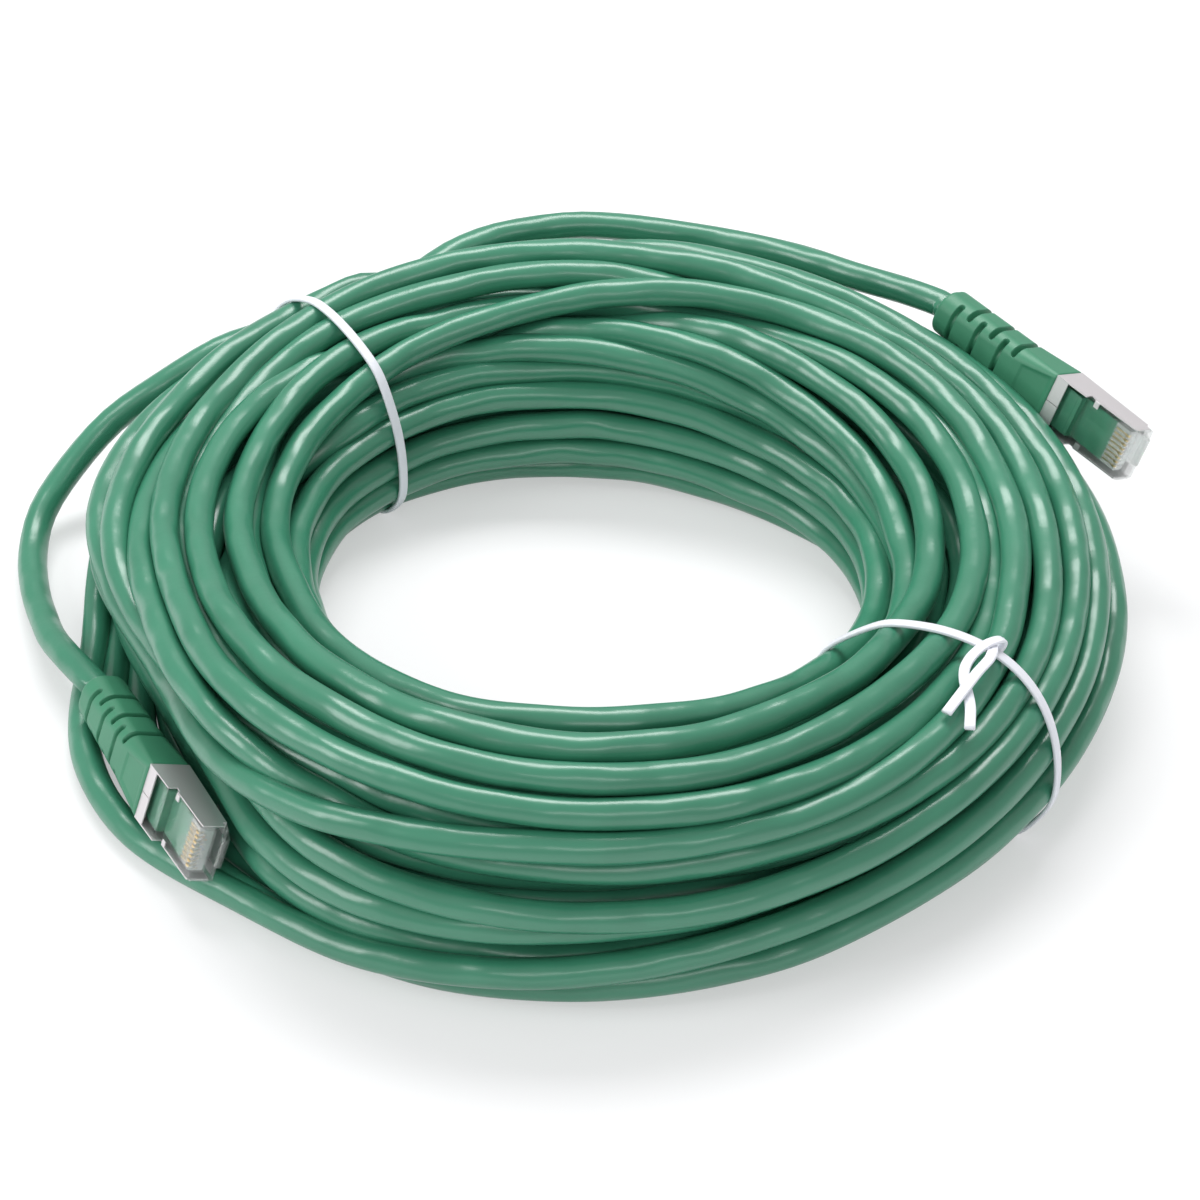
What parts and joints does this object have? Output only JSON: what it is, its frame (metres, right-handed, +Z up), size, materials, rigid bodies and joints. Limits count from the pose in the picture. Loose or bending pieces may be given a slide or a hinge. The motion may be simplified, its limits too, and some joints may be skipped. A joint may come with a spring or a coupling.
{
  "type": "ethernet patch cable",
  "caption": "Shielded patch cable wound in a flat round coil and held by plastic ties, with a moulded modular plug and sprung latch on each end.",
  "frame": {"origin": "on the floor, at the middle of the whole cable as it lies", "axes": "+Z up, square to the coil's flat side; +X from the coil's middle to its right as seen from the front, with plug A front left and plug B rear right; +Y to the rear"},
  "size_m": [0.2304, 0.2065, 0.0467],
  "materials": {
    "jacket_pvc": "extruded PVC, semi-gloss",
    "boot_pvc": "moulded soft PVC, satin",
    "tie_plastic": "extruded strip, satin",
    "nickel_shield": "nickel-plated sheet",
    "clear_housing": "clear polycarbonate",
    "gold_contacts": "gold flash",
    "load_bar_plastic": "natural polycarbonate",
    "wire_blue": "polyolefin insulation",
    "wire_orange": "polyolefin insulation",
    "wire_green": "polyolefin insulation",
    "wire_brown": "polyolefin insulation",
    "pair_foil": "laminated foil",
    "copper_braid": "tinned copper braid"
  },
  "bodies": {
    "cable": {"cable_coil": "jacket_pvc", "cable_lead_a": "jacket_pvc", "cable_lead_b": "jacket_pvc", "tie_left": "tie_plastic", "tie_right": "tie_plastic", "boot_a": "boot_pvc", "shield_a": "nickel_shield", "housing_a": "clear_housing", "contacts_a": "gold_contacts", "load_bar_a": "load_bar_plastic", "inner_mould_a": "boot_pvc", "pair_blue_a": "wire_blue", "pair_orange_a": "wire_orange", "pair_green_a": "wire_green", "pair_brown_a": "wire_brown", "pair_foils_a": "pair_foil", "braid_a": "copper_braid", "cable_end_a": "jacket_pvc", "boot_b": "boot_pvc", "shield_b": "nickel_shield", "housing_b": "clear_housing", "contacts_b": "gold_contacts", "load_bar_b": "load_bar_plastic", "inner_mould_b": "boot_pvc", "pair_blue_b": "wire_blue", "pair_orange_b": "wire_orange", "pair_green_b": "wire_green", "pair_brown_b": "wire_brown", "pair_foils_b": "pair_foil", "braid_b": "copper_braid", "cable_end_b": "jacket_pvc"},
    "latch_a": {"latch_a": "clear_housing"},
    "latch_b": {"latch_b": "clear_housing"}
  },
  "joints": [
    {"name": "latch_a_press", "type": "hinge", "parent": "cable", "child": "latch_a", "pos_m": [-0.06592, -0.06933, 0.01137], "axis": [0.3144, 0.2105, 0.9256], "range_deg": [0, 12], "stiffness_Nm_per_rad": 0.02},
    {"name": "latch_b_press", "type": "hinge", "parent": "cable", "child": "latch_b", "pos_m": [0.11196, 0.02811, 0.0305], "axis": [0.3411, 0.1174, 0.9327], "range_deg": [0, 12], "stiffness_Nm_per_rad": 0.02}
  ]
}
